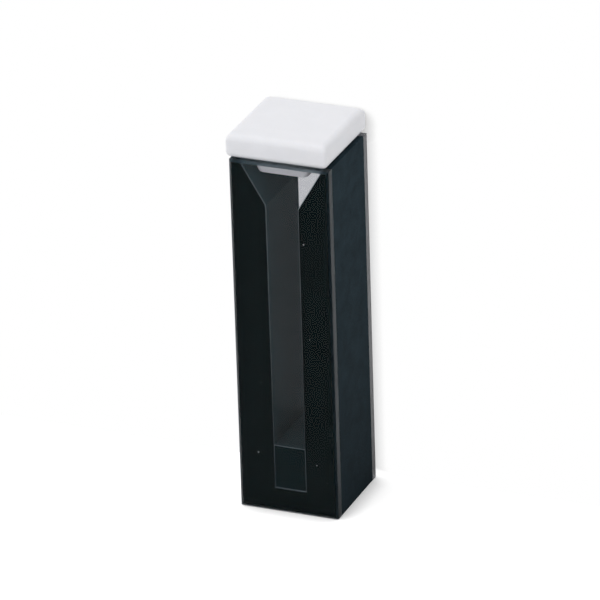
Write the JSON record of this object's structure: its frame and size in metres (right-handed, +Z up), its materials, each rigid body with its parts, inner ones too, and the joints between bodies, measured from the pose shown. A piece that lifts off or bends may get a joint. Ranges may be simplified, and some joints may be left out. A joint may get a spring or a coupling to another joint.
{
  "type": "cuvette",
  "caption": "Square semi-micro photometer cell with clear front and rear windows, black side walls, a narrow chamber opening into a V mouth, and a white lift-off lid.",
  "frame": {"origin": "centre of the cell's square underside, where it stands", "axes": "+Z up along the cell, -Y out of the front window, light passes along Y, +X to the right seen from the front"},
  "size_m": [0.0131, 0.0132, 0.048],
  "materials": {
    "clear_glass": "polished outside and inside, finely ground narrow edges",
    "black_glass": "polished towards the chamber, finely ground outside",
    "white_lid": "waxy white fluoropolymer, soft edges"
  },
  "bodies": {
    "cell": {"front_window": "clear_glass", "rear_window": "clear_glass", "left_wall": "black_glass", "right_wall": "black_glass", "chamber_floor": "black_glass"},
    "lid": {"lid": "white_lid"}
  },
  "joints": [
    {"name": "lid_lift", "type": "slide", "parent": "cell", "child": "lid", "axis": [0, 0, 1], "range_m": [0, 0.012]}
  ]
}
